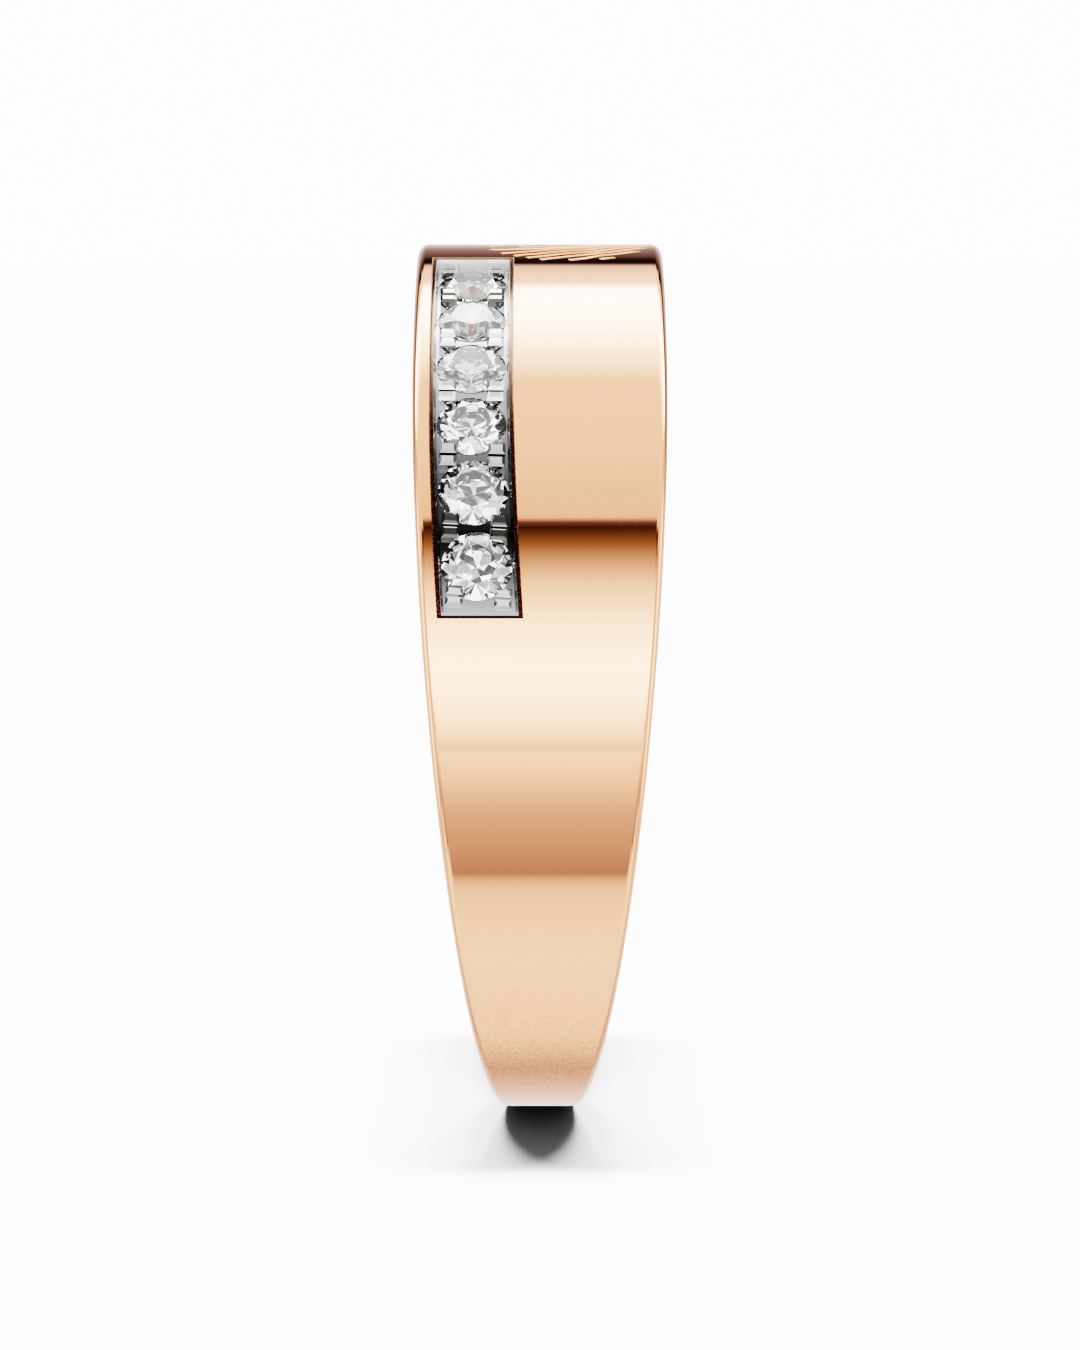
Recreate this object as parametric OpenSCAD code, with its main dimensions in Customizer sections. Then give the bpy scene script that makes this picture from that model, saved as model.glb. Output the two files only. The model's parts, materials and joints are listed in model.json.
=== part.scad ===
// Tapered wedding band with a fingerprint-style engraving on top and a soldered-in
// white metal setting of six round stones on each shoulder.
// The origin is the centre of the bore. The bore runs along X, +Z is the engraved top,
// and angles around the band are measured from the top towards -Y.

/* [Band] */
// Inside diameter of the band, which is its finger size
bore_d = 19.8; // [16:0.1:24]
// Thickness of the band's wall
wall = 1.6; // [1.3:0.05:2.4]
// Width of the band across its top and shoulders
top_w = 6.44; // [5:0.02:9]
// Width of the band at the bottom of its shank
shank_w = 1.85; // [1.5:0.05:4.5]
// Angle each way from the bottom over which the shank widens to the full width
taper_angle = 140; // [110:1:160]
// Power of the sine that the taper follows, higher for a slimmer shank
taper_power = 1.29; // [1:0.01:2]
// Radius of the rounded outer edges
edge_r = 0.25; // [0.1:0.05:0.4]
// Size of the comfort chamfer at each end of the bore
comfort = 0.3; // [0.1:0.05:0.4]

/* [Engraving] */
// Length of the engraved oval around the band
oval_l = 5.4; // [3:0.1:6]
// Width of the engraved oval across the band
oval_w = 4.5; // [2:0.1:5]
// Distance of the oval's centre from the middle of the band, away from the settings
oval_x = 0.7; // [0:0.05:0.8]
// Distance of the oval's centre from the top of the band, towards the front
oval_y = 0.4; // [0:0.05:0.8]
// Depth of the engraved lines
line_depth = 0.1; // [0.05:0.01:0.2]
// Width of the engraved lines
line_w = 0.17; // [0.1:0.01:0.2]
// Distance from one engraved line to the next
line_pitch = 0.41; // [0.3:0.01:0.6]

/* [Settings] */
// Angle from the top of the band to the upper end of each slot
slot_start = 13.8; // [10:0.1:30]
// Distance from the band's edge to the slot
edge_margin = 0.45; // [0.4:0.01:1]
// Gap between the setting and the sides and ends of its slot
slot_gap = 0.07; // [0.02:0.01:0.1]
// Thickness of the setting's walls
setting_wall = 0.08; // [0.06:0.01:0.15]
// Thickness of the setting's floor
setting_floor = 0.3; // [0.2:0.01:0.4]
// Height of the setting's walls above its floor
trough_depth = 0.36; // [0.3:0.01:0.45]
// Depth of the setting's rim below the outside of the band
rim_drop = 0.02; // [0.01:0.01:0.05]

/* [Claws] */
// Width of each claw across the setting
claw_w = 0.43; // [0.3:0.01:0.5]
// Length of each claw along the setting
claw_l = 0.31; // [0.2:0.01:0.35]
// Length of each claw in the pairs at the ends of the setting
end_claw_l = 0.22; // [0.15:0.01:0.3]
// Height of the claws above the setting's floor
claw_h = 0.265; // [0.2:0.005:0.3]
// Width of the split between the two claws of a pair
claw_split = 0.05; // [0.03:0.01:0.1]
// Gap between the claws and the setting's walls
claw_gap = 0.065; // [0.03:0.005:0.1]
// Gap between the end claws and the setting's end walls
end_gap = 0.16; // [0.05:0.01:0.3]
// Bevel around the top of each claw
claw_bevel = 0.08; // [0.02:0.01:0.1]
// Lap of the end claws over the end stones, along the setting
end_claw_lap = 0.06; // [0.03:0.01:0.1]

/* [Stones] */
// Number of stones in each setting
stone_count = 6; // [2:1:7]
// Diameter of each stone
stone_d = 1.75; // [1.4:0.05:2.15]
// Gap between neighbouring stones
stone_gap = 0.2; // [0.15:0.01:0.4]
// Width of the table as a share of the stone's diameter
table_share = 0.57; // [0.5:0.01:0.65]
// Angle of the crown's main facets
crown_angle = 34.5; // [30:0.5:37]
// Angle of the pavilion's main facets
pavilion_angle = 40; // [39:0.25:41]
// Distance of the star facets' tips from the stone's axis, as a share of its radius
star_share = 0.77; // [0.7:0.01:0.8]
// Distance of the lower halves' tips from the stone's axis, as a share of its radius
lower_share = 0.23; // [0.15:0.01:0.3]
// Thickness of the girdle
girdle_h = 0.05; // [0.03:0.01:0.08]
// Depth of the girdle below the setting's floor
stone_sink = 0.03; // [0.02:0.01:0.06]
// Radial clearance between a stone and the seat and walls around it
stone_fit = 0.01; // [0.005:0.005:0.03]
// Diameter of the light hole behind each stone
light_hole_d = 0.9; // [0.6:0.05:1.1]

/* [Hidden] */
$fn = 64;
// Angle of the flat strips that make up the curved faces
strip = 3;
// Least share of a strip that a block's end section may take up
least_share = 0.01;
// Length by which a cutter runs past the face that it opens
overrun = 1;
// Height by which a stone's bur runs past the claws
bur_overrun = 0.1;

// Sizes that follow from the values above
bore_r = bore_d / 2;
outer_r = bore_r + wall;
stone_r = stone_d / 2;
trough_w = stone_d + 2 * stone_fit;
setting_w = trough_w + 2 * setting_wall;
slot_w = setting_w + 2 * slot_gap;
rim_r = outer_r - rim_drop;
floor_r = rim_r - trough_depth;
slot_r = floor_r - setting_floor;
seat_r = floor_r - stone_sink;

// Heights on a stone, above the bottom of its girdle
table_r = table_share * stone_r;
star_r = star_share * stone_r;
lower_r = lower_share * stone_r;
half_facet = 22.5;
table_z = girdle_h + (stone_r - table_r) * tan(crown_angle);
star_z = girdle_h + (stone_r - star_r * cos(half_facet)) * tan(crown_angle);
lower_z = -(stone_r - lower_r * cos(half_facet)) * tan(pavilion_angle);
culet_z = -stone_r * tan(pavilion_angle);

// Angles along the row of stones, from lengths measured on the setting's floor
function arc(length) = length / floor_r * 180 / PI;
pitch = arc(stone_d + stone_gap);
end_pair = arc(stone_r + claw_split / 2 + claw_gap - end_claw_l + end_claw_lap);
trough_end = arc(claw_split / 2 + end_claw_l + end_gap);
first_stone = slot_start + arc(slot_gap + setting_wall) + trough_end + end_pair;
last_stone = first_stone + (stone_count - 1) * pitch;
upper_pair = first_stone - end_pair;
lower_pair = last_stone + end_pair;

// Width of the band at an angle from its top
function band_w(a) =
    shank_w + (top_w - shank_w) * pow(sin(90 * min(1, (180 - a) / taper_angle)), taper_power);

// Middle of the row of stones, which keeps its distance from the band's edge
function row_x(a) = edge_margin + slot_w / 2 - band_w(a) / 2;

// Lean of the row at an angle, because the band narrows there
function row_lean(a) = atan((row_x(a + 1) - row_x(a - 1)) / (2 * PI * floor_r / 180));

// Point at a radius and an angle around the band
function around(x, r, a) = [x, -r * sin(a), r * cos(a)];

// Solid through a list of sections, each with the same number of points
module sweep(sections, closed = false) {
    n = len(sections[0]);
    m = len(sections);
    walls = [
        for (i = [0:(closed ? m : m - 1) - 1], j = [0:n - 1])
            let (k = (i + 1) % m, l = (j + 1) % n)
            each [[i * n + j, i * n + l, k * n + l], [i * n + j, k * n + l, k * n + j]]
    ];
    caps = closed ? [] : [
        [for (j = [n - 1:-1:0]) j],
        [for (j = [0:n - 1]) (m - 1) * n + j]
    ];
    polyhedron([for (s = sections) each s], concat(walls, caps), convexity = 6);
}

// Places its children on the row of stones: +Z outwards, +X across the row
module on_row(a, r, along = 0) {
    b = a + arc(along);
    translate(around(row_x(b), r, b))
        rotate([b, 0, 0])
            rotate([0, 0, -row_lean(b)])
                children();
}

// Cylinder along the bore's axis, longer than the band is wide
module core(r) {
    rotate([0, 90, 0])
        cylinder(r = r, h = 2 * top_w, center = true);
}

// Radius of the flat strips that stand for a round face, which every curved block shares
function strip_r(r, a) = r * cos(strip / 2) / cos(a % strip - strip / 2);

// Block that follows the row from one angle to another, between two radii
module row_block(from, to, width, low_r, high_r) {
    first = strip * ceil(from / strip + least_share);
    last = strip * floor(to / strip - least_share);
    sweep([
        for (a = concat([from], [for (a = [first:strip:last]) a], [to]))
            let (x = row_x(a), h = width / 2, low = strip_r(low_r, a), high = strip_r(high_r, a))
            [around(x - h, high, a), around(x + h, high, a), around(x + h, low, a), around(x - h, low, a)]
    ]);
}

// Outline of the band's section at an angle, with the comfort chamfers run past the bore
function band_section(a) =
    let (
        h = band_w(a) / 2,
        side = concat(
            [for (t = [0:30:90]) [h - edge_r * (1 - sin(t)), outer_r - edge_r * (1 - cos(t))]],
            [[h, bore_r + comfort], [h - 1.5 * comfort, bore_r - comfort / 2]]
        )
    )
    concat(side, [for (i = [len(side) - 1:-1:0]) [-side[i][0], side[i][1]]]);

// Body of the band before its slots and engraving are cut
module band_blank() {
    difference() {
        sweep([
            for (a = [0:strip:360 - strip])
                [for (p = band_section(a > 180 ? 360 - a : a)) around(p[0], p[1], a)]
        ], closed = true);
        core(bore_r);
    }
}

// Bur that cuts the seat of one stone and the light hole behind it
module stone_bur() {
    lip = stone_fit / 2;
    hole_r = light_hole_d / 2;
    top_z = stone_sink + claw_h + bur_overrun;
    slope = (star_z - girdle_h) / (stone_r - star_r);
    rotate_extrude()
        polygon([
            [0, -wall],
            [hole_r, -wall],
            [hole_r, hole_r - stone_r],
            [stone_r + lip, lip],
            [stone_r + lip, girdle_h + lip],
            [stone_r + lip - (top_z - girdle_h - lip) / slope, top_z],
            [0, top_z]
        ]);
}

// All the burs of one shoulder
module stone_burs() {
    for (k = [0:stone_count - 1])
        on_row(first_stone + k * pitch, seat_r)
            stone_bur();
}

// Slot of one shoulder, open at the outside of the band
module slot() {
    reach = arc(slot_gap + setting_wall) + trough_end;
    row_block(upper_pair - reach, lower_pair + reach, slot_w, slot_r, outer_r + overrun);
}

// Concentric engraved lines, clipped to an oval and sunk to one depth
module engraving() {
    core_y = oval_l / 10;
    difference() {
        translate([oval_x, -oval_y, 0])
            intersection() {
                linear_extrude(outer_r + overrun)
                    polygon([
                        for (t = [0:9:351]) [oval_w / 2 * cos(t), oval_l / 2 * sin(t)]
                    ]);
                for (r = [line_pitch:line_pitch:oval_l])
                    translate([0, core_y, 0])
                        linear_extrude(outer_r + overrun)
                            difference() {
                                circle(r = r);
                                circle(r = r - line_w);
                            }
            }
        core(outer_r - line_depth);
    }
}

module band() {
    color("#E5B98F")
        difference() {
            band_blank();
            for (side = [0, 1])
                mirror([0, side, 0]) {
                    slot();
                    stone_burs();
                }
            engraving();
        }
}

// One claw, standing on the setting's floor with its foot sunk into it
module claw(length) {
    foot = setting_floor / 3;
    module outline(size)
        polygon([
            [-size / 2, -foot],
            [size / 2, -foot],
            [size / 2, claw_h - claw_bevel],
            [size / 2 - claw_bevel, claw_h],
            [claw_bevel - size / 2, claw_h],
            [-size / 2, claw_h - claw_bevel]
        ]);
    intersection() {
        rotate([90, 0, 0])
            linear_extrude(length, center = true)
                outline(claw_w);
        rotate([90, 0, 90])
            linear_extrude(claw_w, center = true)
                outline(length);
    }
}

// Two pairs of claws across the row at one angle
module claw_pairs(a, length) {
    for (across = [-1, 1], along = [-1, 1])
        on_row(a, floor_r, along * (claw_split + length) / 2)
            translate([across * (trough_w / 2 - claw_gap - claw_w / 2), 0, 0])
                claw(length);
}

// White metal tray with upright walls, its claws cut for the stones
module setting() {
    color("#D5D7D9")
        difference() {
            union() {
                difference() {
                    row_block(
                        upper_pair - trough_end - arc(setting_wall),
                        lower_pair + trough_end + arc(setting_wall),
                        setting_w, slot_r, rim_r
                    );
                    row_block(
                        upper_pair - trough_end, lower_pair + trough_end,
                        trough_w, floor_r, rim_r + overrun
                    );
                }
                for (k = [1:stone_count - 1])
                    claw_pairs(first_stone + (k - 0.5) * pitch, claw_l);
                claw_pairs(upper_pair, end_claw_l);
                claw_pairs(lower_pair, end_claw_l);
            }
            stone_burs();
        }
}

module setting_front() {
    setting();
}

module setting_back() {
    mirror([0, 1, 0])
        setting();
}

// Round brilliant cut stone, its girdle's lower edge at the origin's height
module brilliant() {
    function ring(r, z, count, turn) =
        [for (i = [0:count - 1]) [r * cos(turn + i * 360 / count), r * sin(turn + i * 360 / count), z]];
    points = concat(
        ring(table_r, table_z, 8, 0),
        ring(star_r, star_z, 8, half_facet),
        ring(stone_r, girdle_h, 16, 0),
        ring(stone_r, 0, 16, 0),
        ring(lower_r, lower_z, 8, half_facet),
        [[0, 0, culet_z]]
    );
    star = 8;
    upper = 16;
    under = 32;
    lower = 48;
    culet = 56;
    faces = concat(
        [[for (i = [7:-1:0]) i]],
        [
            for (i = [0:7])
                let (n = (i + 1) % 8, g = 2 * i, h = 2 * i + 1, e = (2 * i + 2) % 16)
                each [
                    [i, n, star + i],
                    [i, star + i, upper + g],
                    [n, upper + e, star + i],
                    [star + i, upper + h, upper + g],
                    [star + i, upper + e, upper + h],
                    [upper + g, upper + h, under + h, under + g],
                    [upper + h, upper + e, under + e, under + h],
                    [lower + i, under + g, under + h],
                    [lower + i, under + h, under + e],
                    [culet, under + g, lower + i],
                    [culet, lower + i, under + e]
                ]
        ]
    );
    color("#EEF3F7")
        polyhedron(points, faces, convexity = 2);
}

module stone_front(k) {
    on_row(first_stone + (k - 1) * pitch, seat_r)
        brilliant();
}

module stone_back(k) {
    mirror([0, 1, 0])
        stone_front(k);
}

band();
setting_front();
setting_back();
for (k = [1:stone_count]) stone_front(k);
for (k = [1:stone_count]) stone_back(k);
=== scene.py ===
"""Looks of a tapered rose gold wedding band with six stones in a white gold setting on each
shoulder and a fingerprint-style engraving on top.

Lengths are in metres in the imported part's own frame: the bore runs along X, +Z is the engraved
top, and the front shoulder faces -Y. Angles around the band are measured from its top.
"""
import json
import math

import bmesh
import bpy
import numpy as np
from mathutils import Euler, Matrix, Vector


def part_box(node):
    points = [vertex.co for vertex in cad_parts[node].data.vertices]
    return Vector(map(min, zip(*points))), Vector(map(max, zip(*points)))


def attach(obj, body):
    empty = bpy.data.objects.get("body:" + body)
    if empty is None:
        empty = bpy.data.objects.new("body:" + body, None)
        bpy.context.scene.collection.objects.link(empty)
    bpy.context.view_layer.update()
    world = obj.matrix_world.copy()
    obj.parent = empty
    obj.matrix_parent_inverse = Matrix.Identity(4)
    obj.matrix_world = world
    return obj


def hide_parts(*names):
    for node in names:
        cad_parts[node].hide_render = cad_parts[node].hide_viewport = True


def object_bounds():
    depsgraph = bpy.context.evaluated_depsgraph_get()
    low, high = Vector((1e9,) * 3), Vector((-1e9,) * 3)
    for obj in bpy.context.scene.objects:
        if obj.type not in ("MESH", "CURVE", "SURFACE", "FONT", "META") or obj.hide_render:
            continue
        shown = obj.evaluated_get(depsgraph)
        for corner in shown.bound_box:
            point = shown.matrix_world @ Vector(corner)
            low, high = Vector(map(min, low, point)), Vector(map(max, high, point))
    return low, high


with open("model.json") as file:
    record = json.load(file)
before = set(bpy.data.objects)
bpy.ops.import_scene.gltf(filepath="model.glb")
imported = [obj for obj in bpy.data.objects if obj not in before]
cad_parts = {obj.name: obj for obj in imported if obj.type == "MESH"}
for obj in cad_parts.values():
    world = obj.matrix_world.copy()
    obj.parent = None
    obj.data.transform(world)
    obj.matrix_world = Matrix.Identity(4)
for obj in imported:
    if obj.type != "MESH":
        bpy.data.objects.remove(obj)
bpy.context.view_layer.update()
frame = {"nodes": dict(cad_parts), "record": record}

# ---------------------------------------------------------------- sizes

MM = 0.001
band_low, band_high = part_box("band")
OUTER_R = band_high.z
TOP_W = band_high.x - band_low.x
BORE_R = frame["record"]["mounts"][0]["dims"]["r_mm"] * MM
WALL = OUTER_R - BORE_R

# the taper of the shank
SHANK_W = 1.85 * MM
TAPER = math.radians(140)
TAPER_POWER = 1.29
EDGE_R = 0.22 * MM        # rounding of the outer edges
COMFORT_R = 0.3 * MM      # rounding of the bore's edges
AROUND = 900              # steps around the band, fine enough for a mirror finish

# the slot and its white gold setting
STONE_D = 1.75 * MM
STONE_GAP = 0.2 * MM
STONES = 6
EDGE_MARGIN = 0.45 * MM
SLOT_GAP = 0.07 * MM
SETTING_WALL = 0.08 * MM
SETTING_FLOOR = 0.3 * MM
TROUGH_DEPTH = 0.36 * MM
RIM_DROP = 0.02 * MM
STONE_SINK = 0.03 * MM
STONE_FIT = 0.01 * MM
LIGHT_HOLE_R = 0.45 * MM
MOUTH = 0.03 * MM         # softened edge at the mouth of the slot
RIM_BEVEL = 0.012 * MM    # softened edge of the setting's rim
WALL_LEAN = 0.06 * MM     # lean of the setting's walls over their height

# claws
CLAW_W = 0.43 * MM
CLAW_L = 0.31 * MM
END_CLAW_L = 0.22 * MM
CLAW_H = 0.265 * MM
CLAW_SPLIT = 0.05 * MM
CLAW_GAP = 0.065 * MM
CLAW_FOOT = SETTING_FLOOR / 3
CLAW_BEVEL = 0.07 * MM
END_GAP = 0.16 * MM
END_CLAW_LAP = 0.06 * MM

# cut of the stones
TABLE_SHARE = 0.57
CROWN_ANGLE = math.radians(34.5)
PAVILION_ANGLE = math.radians(40)
UPPER_STEEPER = math.radians(6.5)
STAR_FLATTER = math.radians(12.5)
LOWER_STEEPER = math.radians(1.6)
GIRDLE_H = 0.04 * MM

# engraving
LINES = 16
LINE_PITCH = 0.31 * MM
LINE_R = 0.09 * MM        # radius of the round-bottomed engraved lines
WHORL_TILT = math.radians(31)
WHORL_STRETCH = 3.0
OVAL_X = 0.72 * MM
OVAL_Y = -0.4 * MM
OVAL_W = 4.5 * MM
OVAL_L = 5.4 * MM

STONE_R = STONE_D / 2
TROUGH_W = STONE_D + 2 * STONE_FIT
SETTING_W = TROUGH_W + 2 * SETTING_WALL
SLOT_W = SETTING_W + 2 * SLOT_GAP
RIM_R = OUTER_R - RIM_DROP
FLOOR_R = RIM_R - TROUGH_DEPTH
SLOT_R = FLOOR_R - SETTING_FLOOR
SEAT_R = FLOOR_R - STONE_SINK


def arc(length):
    """Angle that a length measured on the setting's floor takes up."""
    return length / FLOOR_R


PITCH = arc(STONE_D + STONE_GAP)
END_PAIR = arc(STONE_R + CLAW_SPLIT / 2 + CLAW_GAP - END_CLAW_L + END_CLAW_LAP)
TROUGH_END = arc(CLAW_SPLIT / 2 + END_CLAW_L + END_GAP)


def band_width(a):
    """Width of the band at an angle from its top."""
    from_bottom = abs(math.pi - abs(a))
    rise = math.sin(math.pi / 2 * min(1, from_bottom / TAPER))
    return SHANK_W + (TOP_W - SHANK_W) * rise ** TAPER_POWER


def row_x(a):
    """Middle of the row of stones, which keeps its distance from the band's edge."""
    return EDGE_MARGIN + SLOT_W / 2 - band_width(a) / 2


def row_lean(a):
    """Lean of the row, because the band narrows there."""
    step = math.radians(1)
    return math.atan((row_x(a + step) - row_x(a - step)) / (2 * step * FLOOR_R))


def around(x, r, a):
    """Point at a radius and an angle around the band."""
    return Vector((x, -r * math.sin(a), r * math.cos(a)))


def stone_angle(name):
    """Angle of one packed stone around the band, from the mean of its corners."""
    corners = [v.co for v in frame["nodes"][name].data.vertices]
    middle = sum(corners, Vector()) / len(corners)
    return math.atan2(-middle.y, middle.z)


def row_place(a, r):
    """Matrix that stands a piece on the row: +Z outwards, +X across the row."""
    turn = Matrix.Rotation(a, 4, "X") @ Matrix.Rotation(-row_lean(a), 4, "Z")
    return Matrix.Translation(around(row_x(a), r, a)) @ turn


FIRST = stone_angle("stone_front_1")
LAST = stone_angle("stone_front_%d" % STONES)
UPPER_PAIR = FIRST - END_PAIR
LOWER_PAIR = LAST + END_PAIR


# ---------------------------------------------------------------- nodes and meshes

def linear(code):
    """Linear colour of an sRGB hex code."""
    parts = [int(code[i:i + 2], 16) / 255 for i in (1, 3, 5)]
    return [c / 12.92 if c <= 0.04045 else ((c + 0.055) / 1.055) ** 2.4 for c in parts] + [1]


def feed(tree, node, inputs):
    """Gives a node its inputs by name or number: other nodes, sockets or constants."""
    pairs = inputs.items() if isinstance(inputs, dict) else enumerate(inputs)
    for key, value in pairs:
        if isinstance(value, bpy.types.Node):
            value = next(out for out in value.outputs if out.enabled)
        if isinstance(value, bpy.types.NodeSocket):
            tree.links.new(value, node.inputs[key])
        else:
            node.inputs[key].default_value = value


def add(tree, kind, inputs=(), **settings):
    """Adds a node with its settings and links."""
    node = tree.nodes.new(kind)
    for key, value in settings.items():
        setattr(node, key, value)
    feed(tree, node, inputs)
    return node


def tree_with(name, sizes):
    """Geometry Nodes tree with one named input for each size."""
    tree = bpy.data.node_groups.new(name, "GeometryNodeTree")
    tree.interface.new_socket("Geometry", in_out="OUTPUT", socket_type="NodeSocketGeometry")
    for label, value in sizes.items():
        kind = "NodeSocketInt" if isinstance(value, int) else "NodeSocketFloat"
        tree.interface.new_socket(label, in_out="INPUT", socket_type=kind)
    return tree, add(tree, "NodeGroupInput").outputs


def close_tree(tree, shape, material):
    """Ends a tree in real geometry that carries its material."""
    real = add(tree, "GeometryNodeRealizeInstances", {"Geometry": shape})
    painted = add(tree, "GeometryNodeSetMaterial", {"Geometry": real, "Material": material})
    add(tree, "NodeGroupOutput", [painted])


def piece_of(name, mesh):
    """Object of a mesh, in the scene."""
    mesh.name = name
    piece = bpy.data.objects.new(name, mesh)
    bpy.context.collection.objects.link(piece)
    return piece


def plain_copy(name, source):
    """Mesh object made from another as its modifiers leave it. The other is used up."""
    depsgraph = bpy.context.evaluated_depsgraph_get()
    mesh = bpy.data.meshes.new_from_object(source.evaluated_get(depsgraph), depsgraph=depsgraph)
    bpy.data.objects.remove(source)
    return piece_of(name, mesh)


def grown(name, tree, sizes):
    """Plain mesh object that a tree makes from its sizes."""
    seed = piece_of(name + "_seed", bpy.data.meshes.new(name + "_seed"))
    modifier = seed.modifiers.new("Shape", "NODES")
    modifier.node_group = tree
    sockets = {s.name: s.identifier for s in tree.interface.items_tree if s.in_out == "INPUT"}
    for label, value in sizes.items():
        modifier[sockets[label]] = value
    return plain_copy(name, seed)


def solid(name, points, faces, material):
    """Mesh object with its faces turned outwards."""
    mesh = bpy.data.meshes.new(name)
    mesh.from_pydata(points, [], faces)
    mesh.materials.append(material)
    shape = bmesh.new()
    shape.from_mesh(mesh)
    bmesh.ops.recalc_face_normals(shape, faces=shape.faces)
    shape.to_mesh(mesh)
    shape.free()
    return piece_of(name, mesh)


def combined(name, body, tool, operation):
    """The body after a cut or a join with a tool. Both are used up."""
    modifier = body.modifiers.new("Cut", "BOOLEAN")
    modifier.operation = operation
    modifier.solver = "MANIFOLD"
    modifier.material_mode = "TRANSFER"
    modifier.object = tool
    piece = plain_copy(name, body)
    bpy.data.objects.remove(tool)
    return piece


def joined(name, pieces):
    """One object from several of one material that don't touch."""
    mesh = bpy.data.meshes.new(name)
    whole = bmesh.new()
    for piece in pieces:
        whole.from_mesh(piece.data)
    whole.to_mesh(mesh)
    whole.free()
    mesh.materials.append(pieces[0].data.materials[0])
    for piece in pieces:
        bpy.data.objects.remove(piece)
    return piece_of(name, mesh)


def mirrored(mesh):
    """Turns a front shape into the one on the back shoulder, with its faces still outwards."""
    mesh.transform(Matrix.Scale(-1, 4, (0, 1, 0)))
    mesh.flip_normals()


# ---------------------------------------------------------------- materials

ROSE_GOLD = "#FFAB85"


def metal(name, colour, roughness):
    """Metal with its tree and its shader, ready for patterns."""
    material = bpy.data.materials.new(name)
    material.use_nodes = True
    tree = material.node_tree
    shader = tree.nodes["Principled BSDF"]
    feed(tree, shader, {"Base Color": linear(colour), "Metallic": 1, "Roughness": roughness})
    return material, tree, shader


def polished_rose_gold():
    """14 carat rose gold, buffed to a mirror: clear reflections with hairline polishing marks
    that run around the band, soft patches of wear, and satin where the shank rubs."""
    material, tree, shader = metal("polished 14 carat rose gold", ROSE_GOLD, 0.03)
    place = add(tree, "ShaderNodeTexCoord").outputs["Object"]
    split = add(tree, "ShaderNodeSeparateXYZ", [place])
    # hairlines 0.03 mm apart along the bore's axis, drawn out around the band
    turn = add(tree, "ShaderNodeMath", [split.outputs["Y"], split.outputs["Z"]],
               operation="ARCTAN2")
    lanes = add(tree, "ShaderNodeCombineXYZ", [
        add(tree, "ShaderNodeMath", [split.outputs["X"], 1 / (0.03 * MM)], operation="MULTIPLY"),
        add(tree, "ShaderNodeMath", [turn, 4], operation="MULTIPLY")])
    hairlines = add(tree, "ShaderNodeTexNoise", {"Vector": lanes, "Scale": 1, "Detail": 2})
    relief = add(tree, "ShaderNodeBump", {
        "Strength": 0.02, "Distance": 0.002 * MM, "Height": hairlines})
    # wear: patches about 2 mm across where the polish has dulled a little
    wear = add(tree, "ShaderNodeTexNoise", {"Vector": place, "Scale": 1 / (2 * MM), "Detail": 4})
    marks = add(tree, "ShaderNodeMath", [hairlines, wear], operation="MULTIPLY")
    dull = add(tree, "ShaderNodeMapRange", {
        "Value": marks, "From Min": 0.15, "From Max": 0.45, "To Min": 0.015, "To Max": 0.06})
    # the outside of the shank, where it rubs, carries a fine satin grain 0.08 mm across
    low = add(tree, "ShaderNodeMapRange", {
        "Value": split.outputs["Z"], "From Min": -0.5 * OUTER_R, "From Max": -0.85 * OUTER_R})
    spoke = add(tree, "ShaderNodeCombineXYZ", {"Y": split.outputs["Y"], "Z": split.outputs["Z"]})
    reach = add(tree, "ShaderNodeVectorMath", [spoke], operation="LENGTH")
    outside = add(tree, "ShaderNodeMapRange", {
        "Value": reach, "From Min": OUTER_R - EDGE_R, "From Max": OUTER_R - 0.5 * EDGE_R})
    rubbing = add(tree, "ShaderNodeMath", [low, outside], operation="MULTIPLY")
    satin = add(tree, "ShaderNodeTexNoise", {
        "Vector": place, "Scale": 1 / (0.08 * MM), "Detail": 1})
    scuffs = add(tree, "ShaderNodeMapRange", {"Value": satin, "From Min": 0.4, "From Max": 0.62})
    grain = add(tree, "ShaderNodeMath", [rubbing, scuffs], operation="MULTIPLY")
    shade = add(tree, "ShaderNodeMix", {0: grain, 6: linear(ROSE_GOLD), 7: linear("#DE946F")},
                data_type="RGBA")
    rubbed = add(tree, "ShaderNodeBump", {
        "Strength": rubbing, "Distance": 0.005 * MM, "Height": satin, "Normal": relief})
    feed(tree, shader, {"Base Color": shade, "Roughness": dull, "Normal": rubbed})
    return material


def slot_shade_rose_gold():
    """14 carat rose gold left as the cutter made it, inside the slot: a satin wall with fine
    chatter marks that breaks up reflections into dark and bright specks. Its dark brown colours
    are painted shade of the narrow gap around the setting."""
    # the dark brown colours are painted shade of the narrow gap between the band and its setting
    material, tree, shader = metal("milled 14 carat rose gold with painted shade", "#6A4030", 0.35)
    place = add(tree, "ShaderNodeTexCoord").outputs["Object"]
    chatter = add(tree, "ShaderNodeTexNoise", {
        "Vector": place, "Scale": 1 / (0.05 * MM), "Detail": 2})
    relief = add(tree, "ShaderNodeBump", {
        "Strength": 0.5, "Distance": 0.01 * MM, "Height": chatter})
    # lighter specks 0.05 mm across, painted glints in the gap's painted shade
    specks = add(tree, "ShaderNodeMapRange", {"Value": chatter, "From Min": 0.5, "From Max": 0.56})
    shade = add(tree, "ShaderNodeMix", {0: specks, 6: linear("#3A1C10"), 7: linear("#855A44")},
                data_type="RGBA")
    # near the top of the band the gap's painted shade gives way to a lighter colour
    split = add(tree, "ShaderNodeSeparateXYZ", [place])
    less_shade_near_top = add(tree, "ShaderNodeMapRange", {
        "Value": split.outputs["Z"], "From Min": 0.6 * OUTER_R, "From Max": 0.9 * OUTER_R})
    light = add(tree, "ShaderNodeMix", {0: less_shade_near_top, 6: shade, 7: linear("#C8A894")},
                data_type="RGBA")
    feed(tree, shader, {"Base Color": light, "Normal": relief})
    return material


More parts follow.
